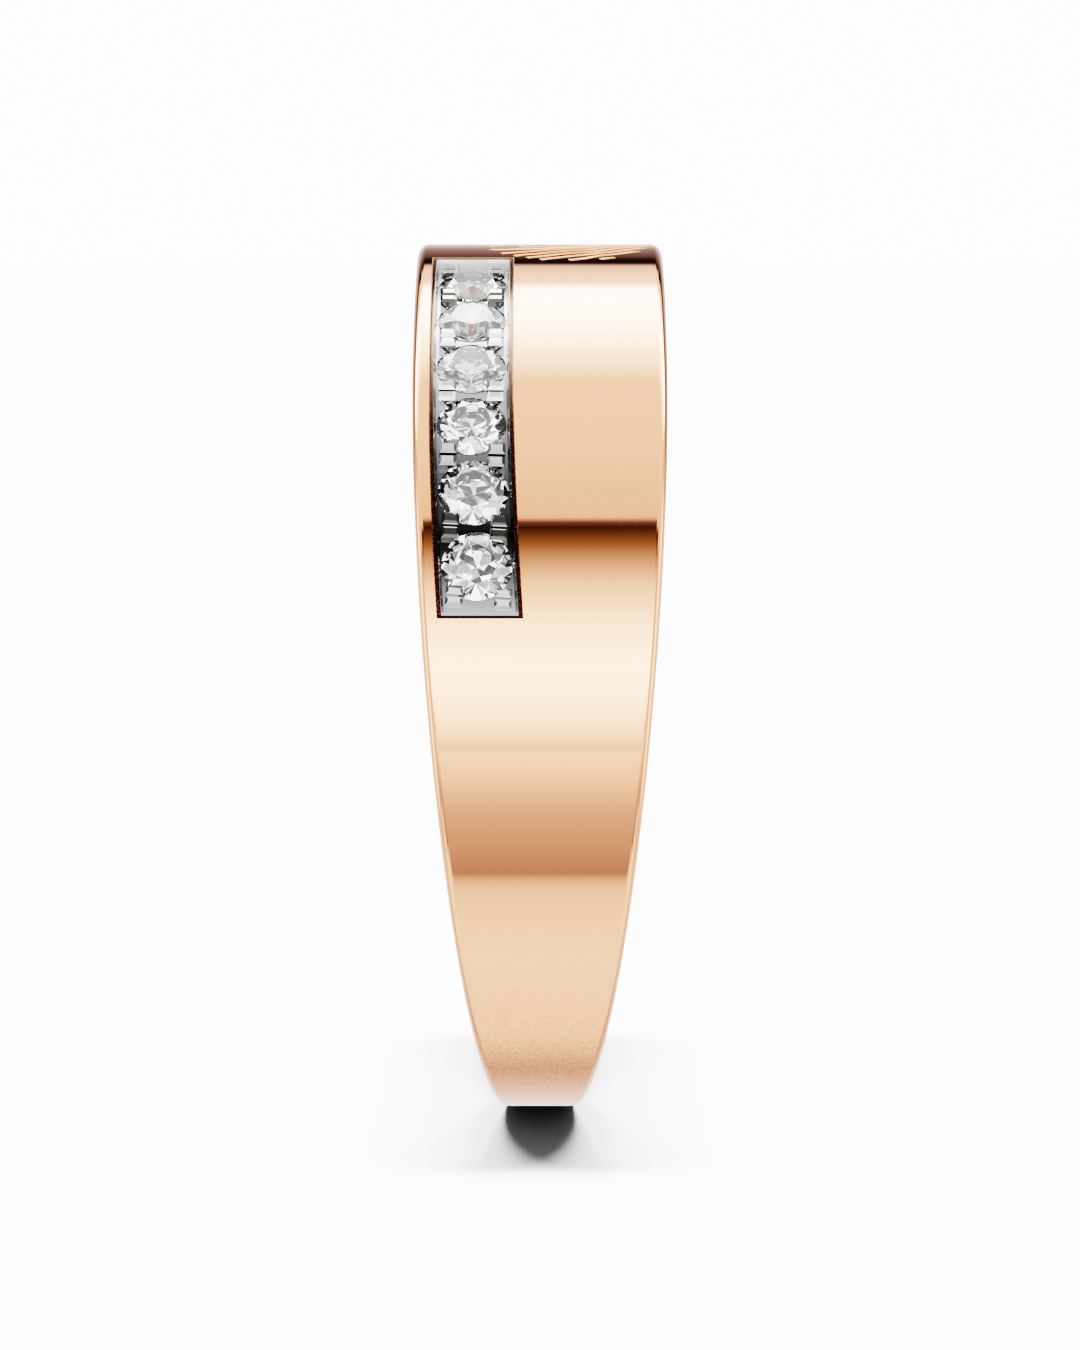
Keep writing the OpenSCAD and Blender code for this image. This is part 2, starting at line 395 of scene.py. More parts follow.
def engraved_rose_gold():
    """14 carat rose gold inside the engraved lines: less sharp than the polish around it, because
    the engraver leaves a fine satin, with a grain of 0.04 mm. Its paler, brighter base colour is
    painted light that lifts the lines out of the shade of their grooves."""
    # the pale base colour is painted light on the grooves
    material, tree, shader = metal("engraved 14 carat rose gold", "#FBC6A8", 0.32)
    place = add(tree, "ShaderNodeTexCoord").outputs["Object"]
    grain = add(tree, "ShaderNodeTexNoise", {
        "Vector": place, "Scale": 1 / (0.04 * MM), "Detail": 3})
    relief = add(tree, "ShaderNodeBump", {
        "Strength": 0.4, "Distance": 0.008 * MM, "Height": grain})
    feed(tree, shader, {"Normal": relief})
    return material


def white_gold(name, colour, low, high, deep=None):
    """14 carat white gold under bright rhodium plate: cool, nearly colourless mirror, with the
    faint unevenness of a hand-finished setting, in patches of 0.12 mm. A deep colour, when given,
    is painted shade that the colour falls to about 64 degrees down the shoulder, in the trough
    beside the stones."""
    material, tree, shader = metal(name, colour, low)
    place = add(tree, "ShaderNodeTexCoord").outputs["Object"]
    tooling = add(tree, "ShaderNodeTexNoise", {
        "Vector": place, "Scale": 1 / (0.12 * MM), "Detail": 3})
    gloss = add(tree, "ShaderNodeMapRange", {"Value": tooling, "To Min": low, "To Max": high})
    feed(tree, shader, {"Roughness": gloss})
    if deep:
        # painted shade: the colour darkens to the deep colour around 64 degrees down the shoulder
        split = add(tree, "ShaderNodeSeparateXYZ", [place])
        forward = add(tree, "ShaderNodeMath", [split.outputs["Y"]], operation="ABSOLUTE")
        turn = add(tree, "ShaderNodeMath", [forward, split.outputs["Z"]], operation="ARCTAN2")
        offset = add(tree, "ShaderNodeMath", [turn, math.radians(64)], operation="SUBTRACT")
        away = add(tree, "ShaderNodeMath", [offset], operation="ABSOLUTE")
        painted_shade_band = add(tree, "ShaderNodeMapRange", {
            "Value": away, "From Min": math.radians(3), "From Max": math.radians(20),
            "To Min": 1, "To Max": 0})
        shade = add(tree, "ShaderNodeMix", {0: painted_shade_band, 6: linear(colour), 7: linear(deep)},
                    data_type="RGBA")
        feed(tree, shader, {"Base Color": shade})
    return material


def diamond():
    """Colourless diamond: sharp polished facets and strong refraction, so it sparkles."""
    material = bpy.data.materials.new("polished diamond")
    material.use_nodes = True
    tree = material.node_tree
    feed(tree, tree.nodes["Principled BSDF"], {
        "Base Color": linear("#FDFDFD"), "Transmission Weight": 1, "IOR": 2.417, "Roughness": 0})
    return material


ROSE = polished_rose_gold()
SLOT_SHADE_GOLD = slot_shade_rose_gold()
ENGRAVED = engraved_rose_gold()
WHITE = white_gold("rhodium plated white gold", "#B2B2B2", 0.02, 0.08)
# the tray's darker grey is painted shade of the trough beside the stones
TRAY = white_gold("rhodium plated white gold tray with painted shade", "#9C9C9C", 0.08, 0.16, "#444444")
SATIN = white_gold("satin rhodium plated white gold", "#F0F0F0", 0.4, 0.5)
DIAMOND = diamond()


# ---------------------------------------------------------------- band

def width_nodes(tree, angle, sizes):
    """Nodes that give the band's width at an angle from its top."""
    left = add(tree, "ShaderNodeMath", [math.pi, angle], operation="SUBTRACT")
    share = add(tree, "ShaderNodeMath", [left, sizes["Taper"]], operation="DIVIDE")
    capped = add(tree, "ShaderNodeMath", [share, 1], operation="MINIMUM")
    quarter = add(tree, "ShaderNodeMath", [capped, math.pi / 2], operation="MULTIPLY")
    eased = add(tree, "ShaderNodeMath", [quarter], operation="SINE")
    steep = add(tree, "ShaderNodeMath", [eased, sizes["Taper Power"]], operation="POWER")
    spread = add(tree, "ShaderNodeMath", [sizes["Top Width"], sizes["Shank Width"]],
                 operation="SUBTRACT")
    rise = add(tree, "ShaderNodeMath", [spread, steep], operation="MULTIPLY")
    return add(tree, "ShaderNodeMath", [sizes["Shank Width"], rise], operation="ADD")


def band_blank():
    """The plain tapered band: a rounded section swept around the bore, narrowed by angle."""
    sizes = {
        "Outer Radius": OUTER_R, "Wall": WALL, "Top Width": TOP_W, "Shank Width": SHANK_W,
        "Taper": TAPER, "Taper Power": TAPER_POWER, "Edge Radius": EDGE_R,
        "Comfort Radius": COMFORT_R, "Steps": AROUND}
    tree, given = tree_with("tapered band", sizes)
    half_wall = add(tree, "ShaderNodeMath", [given["Wall"], 2], operation="DIVIDE")
    middle = add(tree, "ShaderNodeMath", [given["Outer Radius"], half_wall], operation="SUBTRACT")
    path = add(tree, "GeometryNodeCurvePrimitiveCircle", {
        "Resolution": given["Steps"], "Radius": middle})
    section = add(tree, "GeometryNodeCurvePrimitiveQuadrilateral", {
        "Width": given["Wall"], "Height": given["Top Width"]})
    corner = add(tree, "ShaderNodeSeparateXYZ", [add(tree, "GeometryNodeInputPosition")])
    outer = add(tree, "FunctionNodeCompare", [corner.outputs["X"], 0.0], operation="LESS_THAN")
    radius = add(tree, "ShaderNodeMix", {
        0: outer, 2: given["Comfort Radius"], 3: given["Edge Radius"]})
    rounded = add(tree, "GeometryNodeFilletCurve", {
        "Curve": section, "Radius": radius, "Count": 10}, mode="POLY")
    swept = add(tree, "GeometryNodeCurveToMesh", {"Curve": path, "Profile Curve": rounded})
    turned = add(tree, "GeometryNodeTransform", {
        "Geometry": swept, "Rotation": Euler((0, math.pi / 2, 0))})
    # each point moves in by half of what the band has lost in width there
    at = add(tree, "ShaderNodeSeparateXYZ", [add(tree, "GeometryNodeInputPosition")])
    forward = add(tree, "ShaderNodeMath", [at.outputs["Y"]], operation="ABSOLUTE")
    angle = add(tree, "ShaderNodeMath", [forward, at.outputs["Z"]], operation="ARCTAN2")
    width = width_nodes(tree, angle, given)
    excess = add(tree, "ShaderNodeMath", [given["Top Width"], width], operation="SUBTRACT")
    less = add(tree, "ShaderNodeMath", [excess, 2], operation="DIVIDE")
    half_top = add(tree, "ShaderNodeMath", [given["Top Width"], 2], operation="DIVIDE")
    largest = add(tree, "ShaderNodeMath", [given["Edge Radius"], given["Comfort Radius"]],
                  operation="MAXIMUM")
    flat = add(tree, "ShaderNodeMath", [half_top, largest], operation="SUBTRACT")
    reach = add(tree, "ShaderNodeMath", [at.outputs["X"], flat], operation="DIVIDE")
    side = add(tree, "ShaderNodeClamp", {"Value": reach, "Min": -1, "Max": 1})
    outward = add(tree, "ShaderNodeMath", [less, side], operation="MULTIPLY")
    inward = add(tree, "ShaderNodeMath", [outward, -1], operation="MULTIPLY")
    shift = add(tree, "ShaderNodeCombineXYZ", {"X": inward})
    narrowed = add(tree, "GeometryNodeSetPosition", {"Geometry": turned, "Offset": shift})
    smooth = add(tree, "GeometryNodeSetShadeSmooth", {"Geometry": narrowed})
    close_tree(tree, smooth, ROSE)
    return grown("band_blank", tree, sizes)


def engraving():
    """Round tools along the lines of a whorl, clipped to an oval and wrapped on the band."""
    sizes = {
        "Radius": OUTER_R, "Lines": LINES, "Pitch": LINE_PITCH, "Line Radius": LINE_R,
        "Tilt": WHORL_TILT, "Stretch": WHORL_STRETCH, "Oval X": OVAL_X, "Oval Y": OVAL_Y,
        "Oval Width": OVAL_W, "Oval Length": OVAL_L, "Oval Fullness": 2.3, "First Line": 0.6,
        "Waver": 0.48 * MM, "Waver Size": 1.3 * MM}
    tree, given = tree_with("engraved whorl", sizes)
    # rings inside each other, stretched and leaning
    spots = add(tree, "GeometryNodeMeshLine", {
        "Count": given["Lines"], "Offset": Vector((0, 0, 0))})
    ring = add(tree, "GeometryNodeCurvePrimitiveCircle", {"Resolution": 360, "Radius": 1.0})
    index = add(tree, "GeometryNodeInputIndex")
    number = add(tree, "ShaderNodeMath", [index, given["First Line"]], operation="ADD")
    reach = add(tree, "ShaderNodeMath", [number, given["Pitch"]], operation="MULTIPLY")
    length = add(tree, "ShaderNodeMath", [reach, given["Stretch"]], operation="MULTIPLY")
    size = add(tree, "ShaderNodeCombineXYZ", [length, reach, 1])
    lean = add(tree, "ShaderNodeCombineXYZ", {"Z": given["Tilt"]})
    rings = add(tree, "GeometryNodeInstanceOnPoints", {
        "Points": spots, "Instance": ring, "Rotation": lean, "Scale": size})
    loose = add(tree, "GeometryNodeRealizeInstances", {"Geometry": rings})
    # the lines waver like a print's ridges
    here = add(tree, "GeometryNodeInputPosition")
    scale = add(tree, "ShaderNodeMath", [1, given["Waver Size"]], operation="DIVIDE")
    noise = add(tree, "ShaderNodeTexNoise", {"Vector": here, "Scale": scale, "Detail": 1})
    centred = add(tree, "ShaderNodeVectorMath", [
        noise.outputs["Color"], Vector((0.5, 0.5, 0.5))], operation="SUBTRACT")
    waver = add(tree, "ShaderNodeVectorMath", {0: centred, 3: given["Waver"]}, operation="SCALE")
    flat = add(tree, "ShaderNodeVectorMath", [waver, Vector((1, 1, 0))], operation="MULTIPLY")
    wavy = add(tree, "GeometryNodeSetPosition", {"Geometry": loose, "Offset": flat})
    # keep what lies inside the oval, which is squarer than an ellipse as its fullness passes 2
    edges = add(tree, "GeometryNodeCurveToMesh", {"Curve": wavy})
    at = add(tree, "ShaderNodeSeparateXYZ", [add(tree, "GeometryNodeInputPosition")])
    shares = []
    for axis, width in (("X", "Oval Width"), ("Y", "Oval Length")):
        double = add(tree, "ShaderNodeMath", [at.outputs[axis], 2], operation="MULTIPLY")
        share = add(tree, "ShaderNodeMath", [double, given[width]], operation="DIVIDE")
        size = add(tree, "ShaderNodeMath", [share], operation="ABSOLUTE")
        shares.append(add(tree, "ShaderNodeMath", [size, given["Oval Fullness"]],
                          operation="POWER"))
    spread = add(tree, "ShaderNodeMath", shares, operation="ADD")
    outside = add(tree, "FunctionNodeCompare", [spread, 1.0], operation="GREATER_THAN")
    clipped = add(tree, "GeometryNodeDeleteGeometry", {"Geometry": edges, "Selection": outside})
    lines = add(tree, "GeometryNodeMeshToCurve", {"Mesh": clipped})
    # wrap the flat pattern on the band
    spot = add(tree, "ShaderNodeSeparateXYZ", [add(tree, "GeometryNodeInputPosition")])
    along = add(tree, "ShaderNodeMath", [spot.outputs["Y"], given["Oval Y"]], operation="ADD")
    turn = add(tree, "ShaderNodeMath", [along, given["Radius"]], operation="DIVIDE")
    sine = add(tree, "ShaderNodeMath", [turn], operation="SINE")
    cosine = add(tree, "ShaderNodeMath", [turn], operation="COSINE")
    wrapped = add(tree, "ShaderNodeCombineXYZ", [
        add(tree, "ShaderNodeMath", [spot.outputs["X"], given["Oval X"]], operation="ADD"),
        add(tree, "ShaderNodeMath", [sine, given["Radius"]], operation="MULTIPLY"),
        add(tree, "ShaderNodeMath", [cosine, given["Radius"]], operation="MULTIPLY")])
    placed = add(tree, "GeometryNodeSetPosition", {"Geometry": lines, "Position": wrapped})
    tip = add(tree, "GeometryNodeCurvePrimitiveCircle", {
        "Resolution": 10, "Radius": given["Line Radius"]})
    tools = add(tree, "GeometryNodeCurveToMesh", {
        "Curve": placed, "Profile Curve": tip, "Fill Caps": True})
    close_tree(tree, tools, ENGRAVED)
    return grown("engraving", tree, sizes)


def row_block(name, start, end, section, material, side):
    """Block along the row between two angles. The section lists (distance across, radius)."""
    steps = max(2, round(math.degrees(end - start)))
    points, faces = [], []
    for i in range(steps + 1):
        a = start + (end - start) * i / steps
        for across, r in section:
            p = around(row_x(a) + across, r, a)
            points.append((p.x, p.y * side, p.z))
    n = len(section)
    for i in range(steps):
        for j in range(n):
            k = (j + 1) % n
            faces.append((i * n + j, i * n + k, (i + 1) * n + k, (i + 1) * n + j))
    faces.append(tuple(range(n)))
    faces.append(tuple(steps * n + j for j in range(n)))
    return solid(name, points, faces, material)


def lathe(name, outline, material, place, side):
    """Solid turned from an outline of (radius, height) that starts and ends on the axis."""
    steps = 48
    points, faces = [], []
    inner = outline[1:-1]
    for i in range(steps):
        t = 2 * math.pi * i / steps
        for r, z in inner:
            points.append(place @ Vector((r * math.cos(t), r * math.sin(t), z)))
    low = len(points)
    points.append(place @ Vector((0, 0, outline[0][1])))
    points.append(place @ Vector((0, 0, outline[-1][1])))
    n = len(inner)
    for i in range(steps):
        k = (i + 1) % steps
        for j in range(n - 1):
            faces.append((i * n + j, k * n + j, k * n + j + 1, i * n + j + 1))
        faces.append((low, k * n, i * n))
        faces.append((low + 1, i * n + n - 1, k * n + n - 1))
    return solid(name, [(p.x, p.y * side, p.z) for p in points], faces, material)


def stone_burs(material, side):
    """Cutters for the stones' seats and the light holes behind them."""
    lip = STONE_FIT / 2
    top = STONE_SINK + CLAW_H + 0.1 * MM      # past the claws
    deep = -1.1 * WALL        # past the bore
    slope = math.tan(CROWN_ANGLE)
    outline = [
        (0, deep), (LIGHT_HOLE_R, deep), (LIGHT_HOLE_R, LIGHT_HOLE_R - STONE_R),
        (STONE_R + lip, lip), (STONE_R + lip, GIRDLE_H + lip),
        (STONE_R + lip - (top - GIRDLE_H - lip) / slope, top), (0, top)]
    burs = [
        lathe("bur", outline, material, row_place(FIRST + k * PITCH, SEAT_R), side)
        for k in range(STONES)]
    return joined("burs", burs)


def exact_normals(piece):
    """Gives the band's round faces their true directions, so that mirror reflections stay
    clean across the cuts, and leaves the cut faces as they are."""
    mesh = piece.data
    mesh.shade_smooth()
    mesh.set_sharp_from_angle(angle=math.radians(28))
    held = np.empty(len(mesh.loops) * 3, np.float32)
    mesh.corner_normals.foreach_get("vector", held)
    held = held.reshape(-1, 3)
    step = math.radians(0.5)
    bore_limit = BORE_R + 0.01 * MM
    fillet_r = OUTER_R - EDGE_R
    rounding = 1e-7
    near = 0.97               # least cosine between a true direction and its face's own

    def true_normal(p):
        """Direction of the ideal surface at a point of the bore or of the outside."""
        r = math.hypot(p.y, p.z)
        a = math.atan2(abs(p.y), p.z)
        out = Vector((0, p.y / r, p.z / r))
        if r < bore_limit:
            return -out
        if r <= fillet_r - rounding:
            return None
        over = max(0, abs(p.x) - (band_width(a) / 2 - EDGE_R))
        if over == 0:
            return out
        lean = (band_width(a + step) - band_width(a - step)) / (4 * step * r)
        along = Vector((0, p.z / r, -p.y / r)) * (1 if p.y > 0 else -1)
        sideways = Vector((math.copysign(1, p.x), 0, 0)) - along * lean
        return (sideways * over + out * (r - fillet_r)).normalized()

    for face in mesh.polygons:
        if mesh.materials[face.material_index] != ROSE:
            continue
        for i in face.loop_indices:
            n = true_normal(mesh.vertices[mesh.loops[i].vertex_index].co)
            if n is not None and n.dot(face.normal) > near:
                held[i] = n
    mesh.normals_split_custom_set(held)


def slot_section():
    """Section of the cutter for a slot, a little wider at its mouth."""
    half = SLOT_W / 2
    over = 0.5 * MM
    return [
        (-half, SLOT_R), (half, SLOT_R), (half, OUTER_R - MOUTH),
        (half + MOUTH + over, OUTER_R + over), (-half - MOUTH - over, OUTER_R + over),
        (-half, OUTER_R - MOUTH)]


def make_band():
    """The band with its slots, seats, light holes and engraving cut."""
    band = band_blank()
    reach = TROUGH_END + arc(SETTING_WALL + SLOT_GAP)
    for side in (1, -1):
        slot = row_block("slot", UPPER_PAIR - reach, LOWER_PAIR + reach, slot_section(),
                         SLOT_SHADE_GOLD, side)
        band = combined("band_cut", band, slot, "DIFFERENCE")
        band = combined("band_cut", band, stone_burs(SLOT_SHADE_GOLD, side), "DIFFERENCE")
    band = combined("rose_gold_band", band, engraving(), "DIFFERENCE")
    exact_normals(band)
    return band


# ---------------------------------------------------------------- settings

def claw_rows(side):
    """Claws of one setting, repeated along the row by Geometry Nodes."""
    sizes = {
        "Rows": STONES - 1, "First Angle": FIRST + PITCH / 2, "Pitch": PITCH,
        "Floor Radius": FLOOR_R, "Top Width": TOP_W, "Shank Width": SHANK_W, "Taper": TAPER,
        "Taper Power": TAPER_POWER, "Margin": EDGE_MARGIN + SLOT_W / 2,
        "Across": TROUGH_W - 2 * CLAW_GAP - CLAW_W, "Claw Width": CLAW_W, "Claw Length": CLAW_L,
        "Claw Height": CLAW_H, "Foot": CLAW_FOOT, "Split": CLAW_SPLIT, "Bevel": CLAW_BEVEL}
    tree, given = tree_with("claw rows", sizes)
    # one claw: a block whose top is drawn in by the bevel, its levels from -0.5 to 0.5
    tall = add(tree, "ShaderNodeMath", [given["Claw Height"], given["Foot"]], operation="ADD")
    size = add(tree, "ShaderNodeCombineXYZ", [given["Claw Width"], given["Claw Length"], tall])
    block = add(tree, "GeometryNodeMeshCube", {"Size": size, "Vertices Z": 3})
    at = add(tree, "ShaderNodeSeparateXYZ", [add(tree, "GeometryNodeInputPosition")])
    level = add(tree, "ShaderNodeMath", [at.outputs["Z"], tall], operation="DIVIDE")
    is_top = add(tree, "ShaderNodeMath", [level, 0.25], operation="GREATER_THAN")
    is_middle = add(tree, "ShaderNodeMath", [level, 0, 0.1], operation="COMPARE")
    pull = add(tree, "ShaderNodeMath", [is_top, given["Bevel"]], operation="MULTIPLY")
    inward = add(tree, "ShaderNodeMath", [pull, -1], operation="MULTIPLY")
    half = add(tree, "ShaderNodeMath", [tall, 2], operation="DIVIDE")
    rise = add(tree, "ShaderNodeMath", [half, given["Bevel"]], operation="SUBTRACT")
    moves = []
    for axis in ("X", "Y"):
        sign = add(tree, "ShaderNodeMath", [at.outputs[axis]], operation="SIGN")
        moves.append(add(tree, "ShaderNodeMath", [sign, inward], operation="MULTIPLY"))
    moves.append(add(tree, "ShaderNodeMath", [is_middle, rise], operation="MULTIPLY"))
    shape = add(tree, "GeometryNodeSetPosition", {
        "Geometry": block, "Offset": add(tree, "ShaderNodeCombineXYZ", moves)})
    lift = add(tree, "ShaderNodeMath", [half, given["Foot"]], operation="SUBTRACT")
    stood = add(tree, "GeometryNodeTransform", {
        "Geometry": shape, "Translation": add(tree, "ShaderNodeCombineXYZ", {"Z": lift})})
    # four claws to a row
    apart = add(tree, "ShaderNodeMath", [given["Claw Length"], given["Split"]], operation="ADD")
    four = add(tree, "GeometryNodeMeshGrid", {
        "Size X": given["Across"], "Size Y": apart, "Vertices X": 2, "Vertices Y": 2})
    group = add(tree, "GeometryNodeInstanceOnPoints", {"Points": four, "Instance": stood})
    # the rows, along the line that keeps its distance from the band's edge
    rows = add(tree, "GeometryNodeMeshLine", {
        "Count": given["Rows"], "Offset": Vector((0, 0, 0))})
    advance = add(tree, "ShaderNodeMath", [add(tree, "GeometryNodeInputIndex"), given["Pitch"]],
                  operation="MULTIPLY")
    turn = add(tree, "ShaderNodeMath", [given["First Angle"], advance], operation="ADD")
    half_width = add(tree, "ShaderNodeMath", [width_nodes(tree, turn, given), 2],
                     operation="DIVIDE")
    across = add(tree, "ShaderNodeMath", [given["Margin"], half_width], operation="SUBTRACT")
    sine = add(tree, "ShaderNodeMath", [turn], operation="SINE")
    cosine = add(tree, "ShaderNodeMath", [turn], operation="COSINE")
    depth = add(tree, "ShaderNodeMath", [given["Floor Radius"], -1], operation="MULTIPLY")
    place = add(tree, "ShaderNodeCombineXYZ", [
        across,
        add(tree, "ShaderNodeMath", [sine, depth], operation="MULTIPLY"),
        add(tree, "ShaderNodeMath", [cosine, given["Floor Radius"]], operation="MULTIPLY")])
    spread = add(tree, "GeometryNodeSetPosition", {"Geometry": rows, "Position": place})
    # each row leans with the line, by the change in width over two degrees
    step = math.radians(1)
    after = add(tree, "ShaderNodeMath", [turn, step], operation="ADD")
    before = add(tree, "ShaderNodeMath", [turn, step], operation="SUBTRACT")
    change = add(tree, "ShaderNodeMath", [
        width_nodes(tree, after, given), width_nodes(tree, before, given)], operation="SUBTRACT")
    drift = add(tree, "ShaderNodeMath", [change, 2], operation="DIVIDE")
    run = add(tree, "ShaderNodeMath", [given["Floor Radius"], 2 * step], operation="MULTIPLY")
    slope = add(tree, "ShaderNodeMath", [drift, run], operation="DIVIDE")
    lean = add(tree, "ShaderNodeMath", [slope], operation="ARCTANGENT")
    spun = add(tree, "GeometryNodeInstanceOnPoints", {
        "Points": spread, "Instance": group,
        "Rotation": add(tree, "ShaderNodeCombineXYZ", {"X": turn})})
    leaned = add(tree, "GeometryNodeRotateInstances", {
        "Instances": spun, "Local Space": True,
        "Rotation": add(tree, "ShaderNodeCombineXYZ", {"Z": lean})})
    close_tree(tree, leaned, WHITE)
    ends = dict(sizes, **{
        "Rows": 2, "First Angle": UPPER_PAIR, "Pitch": LOWER_PAIR - UPPER_PAIR,
        "Claw Length": END_CLAW_L})
    claws = joined("claws", [grown("middle_claws", tree, sizes), grown("end_claws", tree, ends)])
    if side < 0:
        mirrored(claws.data)
    return claws


def make_setting(name, side):
    """White gold tray with its claws, cut for the stones."""
    out, inner = SETTING_W / 2, TROUGH_W / 2
    outside = [(-out, SLOT_R), (out, SLOT_R), (out, RIM_R - RIM_BEVEL), (out - RIM_BEVEL, RIM_R),
               (RIM_BEVEL - out, RIM_R), (-out, RIM_R - RIM_BEVEL)]
    # the walls lean outwards, so the trough is wider at its rim than on its floor
    over = 0.3 * MM
    lean = WALL_LEAN * (RIM_R + over - FLOOR_R) / TROUGH_DEPTH
    trough = [(-inner, FLOOR_R), (inner, FLOOR_R),
              (inner + lean, RIM_R + over), (-inner - lean, RIM_R + over)]
    upper, lower = UPPER_PAIR - TROUGH_END, LOWER_PAIR + TROUGH_END
    wall = arc(SETTING_WALL)
    tray = row_block("tray", upper - wall, lower + wall, outside, TRAY, side)
    hollow = row_block("hollow", upper, lower, trough, TRAY, side)
    tray = combined("tray", tray, hollow, "DIFFERENCE")
    tray = combined("tray", tray, claw_rows(side), "UNION")
    tray = combined(name, tray, stone_burs(WHITE, side), "DIFFERENCE")
    mesh = tray.data
    mesh.shade_smooth()
    mesh.set_sharp_from_angle(angle=math.radians(12))
    # the end walls are left satin, because a polishing brush doesn't reach them
    mesh.materials.append(SATIN)
    near = 0.1 * TROUGH_END
    facing = 0.9              # least cosine between an end wall and the row's direction
    for face in mesh.polygons:
        a = math.atan2(-face.center.y * side, face.center.z)
        along = Vector((0, -math.cos(a) * side, -math.sin(a)))
        at_end = a < upper + near or a > lower - near
        if at_end and abs(face.normal.dot(along)) > facing:
            face.material_index = len(mesh.materials) - 1
    return tray


# ---------------------------------------------------------------- stones

def brilliant():
    """Round brilliant with its 57 facets, cut from a blank one plane at a time. The girdle's
    lower edge is at height zero."""
    mesh = bpy.data.meshes.new("brilliant")
    shape = bmesh.new()
    girdle_steps = 64
    bmesh.ops.create_cone(shape, cap_ends=True, segments=girdle_steps, radius1=STONE_R,
                          radius2=STONE_R, depth=STONE_D)

    def facet(angle, turn, point):
        """Cuts away what lies beyond a plane that leans by an angle and faces a direction."""
        normal = Vector((math.sin(angle) * math.cos(turn), math.sin(angle) * math.sin(turn),
                         math.cos(angle)))
        cut = bmesh.ops.bisect_plane(
            shape, geom=shape.verts[:] + shape.edges[:] + shape.faces[:], dist=1e-8,
            plane_co=point, plane_no=normal, clear_outer=True)
        edges = [e for e in cut["geom_cut"] if isinstance(e, bmesh.types.BMEdge)]
        bmesh.ops.edgenet_fill(shape, edges=[e for e in edges if e.is_boundary])

    def ring(count, offset, angle, radius, height):
        """Cuts a ring of facets through the points at a radius and a height."""
        for i in range(count):
            turn = (i + offset) * 2 * math.pi / count
            facet(angle, turn, Vector((radius * math.cos(turn), radius * math.sin(turn), height)))

    corner_r = 1.02 * TABLE_SHARE * STONE_R    # the table's corners, past its mean radius
    crown_top = GIRDLE_H + (STONE_R - corner_r) * math.tan(CROWN_ANGLE)
    facet(0, 0, Vector((0, 0, crown_top)))
    ring(8, 0, CROWN_ANGLE, STONE_R, GIRDLE_H)
    ring(16, 0.5, CROWN_ANGLE + UPPER_STEEPER, STONE_R, GIRDLE_H)
    ring(8, 0.5, CROWN_ANGLE - STAR_FLATTER, corner_r * math.cos(math.pi / 8), crown_top)
    ring(8, 0, math.pi - PAVILION_ANGLE, STONE_R, 0)
    ring(16, 0.5, math.pi - PAVILION_ANGLE - LOWER_STEEPER, STONE_R, 0)
    shape.to_mesh(mesh)
    shape.free()
    return mesh


def make_stone(name, cut, angle, side):
    """One stone standing in its seat at an angle."""
    mesh = cut.copy()
    mesh.materials.append(DIAMOND)
    mesh.transform(row_place(angle, SEAT_R))
    if side < 0:
        mirrored(mesh)
    return piece_of(name, mesh)


# ---------------------------------------------------------------- object

band = make_band()
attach(band, "root")
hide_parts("band")
for word, side in (("front", 1), ("back", -1)):
    tray = make_setting("white_gold_setting_" + word, side)
    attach(tray, "root")
    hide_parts("setting_" + word)
cut = brilliant()
for word, side in (("front", 1), ("back", -1)):
    for k in range(STONES):
        number = "%s_%d" % (word, k + 1)
        stone = make_stone("brilliant_" + number, cut, FIRST + k * PITCH, side)
        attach(stone, "root")
        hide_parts("stone_" + number)


# ---------------------------------------------------------------- studio

